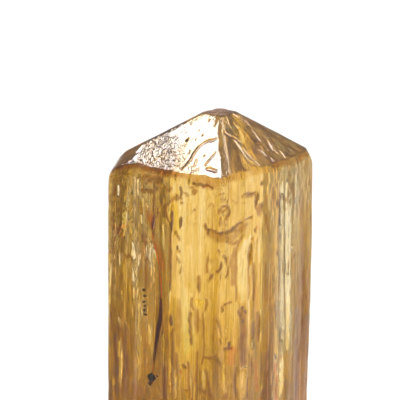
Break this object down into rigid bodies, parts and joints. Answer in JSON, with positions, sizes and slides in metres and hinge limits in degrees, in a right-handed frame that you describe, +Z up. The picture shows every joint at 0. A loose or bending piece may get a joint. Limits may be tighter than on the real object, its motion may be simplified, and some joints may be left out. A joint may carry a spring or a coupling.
{
  "type": "topaz crystal",
  "caption": "Upright golden topaz crystal: a striated rhombic prism with a low four-sided point, standing on a flat cleaved base.",
  "frame": {"origin": "centre of the flat cleaved base, on the surface the crystal stands on", "axes": "+Z up along the prism to its point, +X to the right along the long diagonal of the section, -Y towards the viewer"},
  "size_m": [0.0126, 0.011, 0.0285],
  "materials": {
    "crystal": "clear golden brown, satin on the striated sides"
  },
  "bodies": {
    "root": {"crystal": "crystal"}
  },
  "joints": []
}
